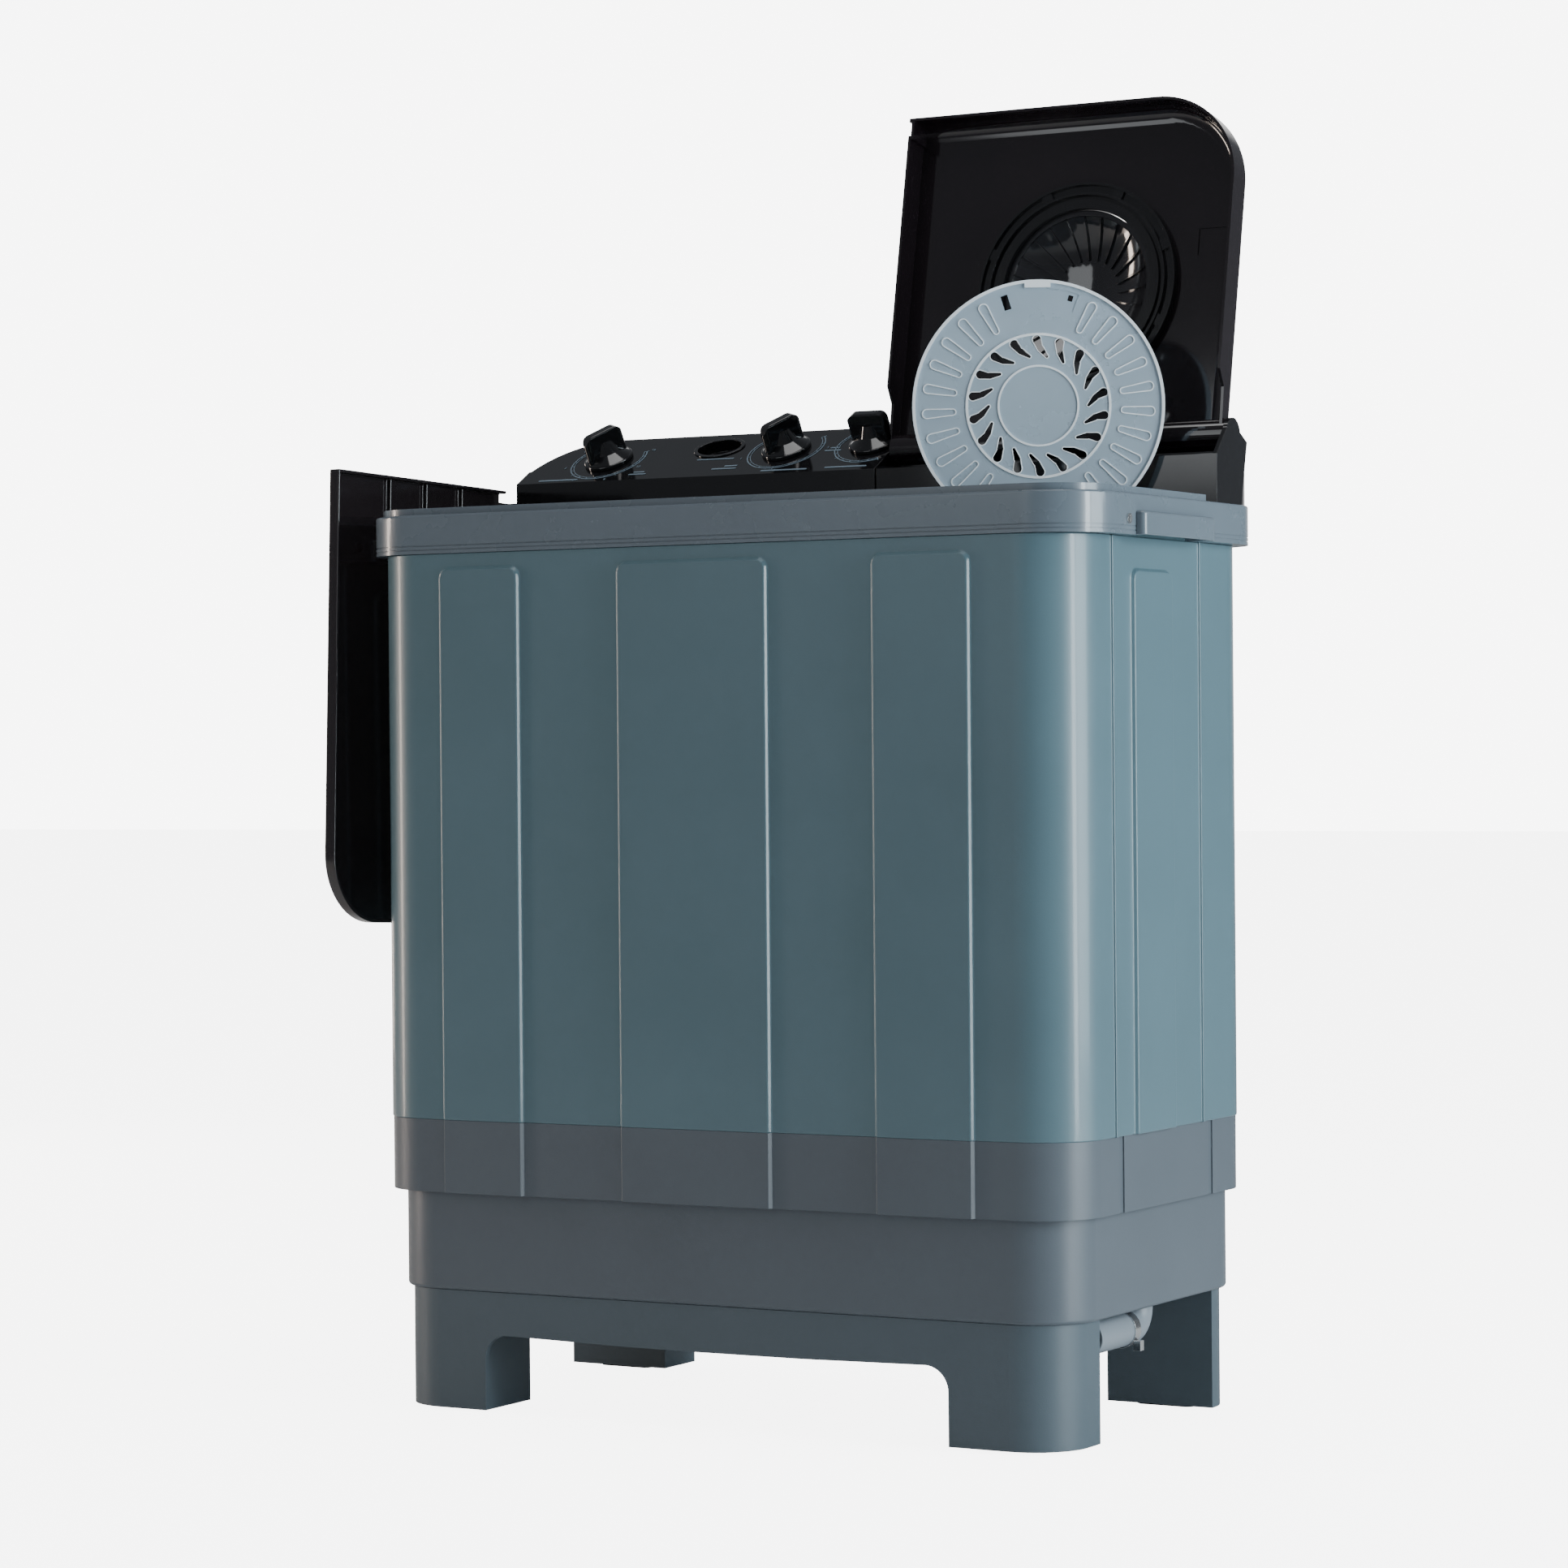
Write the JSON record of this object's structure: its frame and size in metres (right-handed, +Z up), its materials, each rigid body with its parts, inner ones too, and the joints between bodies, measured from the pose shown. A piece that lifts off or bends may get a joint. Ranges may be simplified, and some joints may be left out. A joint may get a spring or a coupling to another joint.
{
  "type": "twin-tub washing machine",
  "caption": "Twin-tub washing machine on a leg frame, with a wash tub, a spin dryer under an open hinged lid, a sloped dial panel and a removed wash lid hung on its side.",
  "frame": {"origin": "middle of the bottom of the whole machine at rest", "axes": "+Z up, +Y towards the back where the control panel stands, +X towards the spin dryer side"},
  "size_m": [0.8888, 0.4352, 1.3359],
  "materials": {
    "teal_body": "satin",
    "grey_trim": "satin",
    "grey_base": "satin",
    "slate_legs": "satin",
    "black_gloss": "gloss",
    "black_smoked": "gloss",
    "smoked_window": "gloss",
    "frosted_disc": "satin",
    "white_tub": "satin",
    "pale_grey": "satin",
    "dark_fittings": "matte",
    "zinc_sheet": "satin",
    "steel_bright": "polished",
    "motor_case": "satin",
    "rubber_black": "matte"
  },
  "bodies": {
    "base": {"front_leg_frame": "slate_legs", "rear_leg_frame": "slate_legs", "rubber_feet": "rubber_black", "base_tray": "grey_base", "lower_skirt": "grey_base", "cabinet_shell": "teal_body", "service_cover": "zinc_sheet", "cover_screws": "steel_bright", "top_collar": "grey_trim", "carry_handle_right": "grey_trim", "carry_handle_left": "grey_trim", "collar_screws": "steel_bright", "control_panel": "black_gloss", "hinge_housing": "black_gloss", "panel_back_cover": "dark_fittings", "water_inlet_cup": "black_gloss", "wash_timer": "dark_fittings", "selector_switch": "dark_fittings", "spin_timer": "dark_fittings", "run_capacitors": "pale_grey", "lid_switch": "dark_fittings", "wash_tub": "white_tub", "wash_gearbox": "motor_case", "drive_belt": "rubber_black", "wash_motor": "motor_case", "motor_plate": "zinc_sheet", "drain_cover": "white_tub", "drain_valve": "dark_fittings", "drain_pipe": "pale_grey", "drain_elbow": "pale_grey", "hose_clamp": "steel_bright", "spin_outer_tub": "white_tub", "shaft_seal": "rubber_black", "spin_motor": "motor_case", "motor_springs": "steel_bright", "spring_seats": "rubber_black"},
    "spin_lid": {"spin_lid": "black_smoked", "spin_lid_pins": "steel_bright", "window_ring": "black_gloss", "window_dome": "smoked_window"},
    "safety_disc": {"safety_disc": "frosted_disc"},
    "wash_lid": {"wash_lid": "black_smoked"},
    "wash_timer_knob": {"wash_timer_knob": "black_gloss"},
    "selector_knob": {"selector_knob": "black_gloss"},
    "spin_timer_knob": {"spin_timer_knob": "black_gloss"},
    "pulsator": {"pulsator": "white_tub", "pulsator_screw": "steel_bright", "wash_shaft": "steel_bright", "wash_pulley": "zinc_sheet"},
    "wash_motor_rotor": {"motor_shaft": "steel_bright", "motor_pulley": "zinc_sheet"},
    "spin_basket": {"spin_basket": "white_tub", "spin_shaft": "steel_bright", "brake_drum": "motor_case"},
    "brake_lever": {"brake_lever": "steel_bright"},
    "drain_plunger": {"drain_plunger": "rubber_black"},
    "lint_filter": {"lint_filter": "pale_grey"}
  },
  "joints": [
    {"name": "spin_lid_hinge", "type": "hinge", "parent": "base", "child": "spin_lid", "pos_m": [0.23438, 0.1344, 0.984], "axis": [1, 0, 0], "range_deg": [0, 106.7]},
    {"name": "safety_disc_laid_down", "type": "hinge", "parent": "base", "child": "safety_disc", "pos_m": [0.23435, 0.04773, 0.92327], "axis": [0.9491, 0.1635, -0.2691], "range_deg": [0, 94.53]},
    {"name": "brake_release", "type": "hinge", "parent": "base", "child": "brake_lever", "pos_m": [0.31038, -0.0926, 0.371], "axis": [0, 0, 1], "range_deg": [-8.05, 0]},
    {"name": "wash_lid_lifted_off", "type": "slide", "parent": "base", "child": "wash_lid", "axis": [0, 0, 1], "range_m": [0, 0.5]},
    {"name": "wash_timer_turn", "type": "hinge", "parent": "base", "child": "wash_timer_knob", "pos_m": [-0.30862, 0.13576, 0.98763], "axis": [0, -0.5026, 0.8645], "range_deg": [-300, 0]},
    {"name": "selector_turn", "type": "hinge", "parent": "base", "child": "selector_knob", "pos_m": [-0.08962, 0.14095, 0.99064], "axis": [0, -0.5026, 0.8645], "range_deg": [-90, 0]},
    {"name": "spin_timer_turn", "type": "hinge", "parent": "base", "child": "spin_timer_knob", "pos_m": [0.01438, 0.14527, 0.99316], "axis": [0, -0.5026, 0.8645], "range_deg": [-300, 0]},
    {"name": "pulsator_spin", "type": "hinge", "parent": "base", "child": "pulsator", "pos_m": [-0.17562, -0.0546, 0.4], "axis": [0, 0, 1], "continuous": true},
    {"name": "wash_motor_spin", "type": "hinge", "parent": "base", "child": "wash_motor_rotor", "pos_m": [-0.00562, -0.0646, 0.34], "axis": [0, 0, 1], "continuous": true},
    {"name": "basket_spin", "type": "hinge", "parent": "base", "child": "spin_basket", "pos_m": [0.24338, -0.0446, 0.52], "axis": [0, 0, 1], "continuous": true},
    {"name": "drain_plunger_pull", "type": "slide", "parent": "base", "child": "drain_plunger", "axis": [0, 0, -1], "range_m": [0, 0.018], "stiffness_N_per_m": 150, "springref_m": -0.01},
    {"name": "lint_filter_lifted_out", "type": "slide", "parent": "base", "child": "lint_filter", "axis": [0, 0, 1], "range_m": [0, 0.3]}
  ],
  "couplings": [
    {"joint": "safety_disc_laid_down", "follows": "spin_lid_hinge", "ratio": 0.88545},
    {"joint": "brake_release", "follows": "spin_lid_hinge", "ratio": -0.074977},
    {"joint": "wash_motor_spin", "follows": "pulsator_spin", "ratio": 3.507}
  ]
}
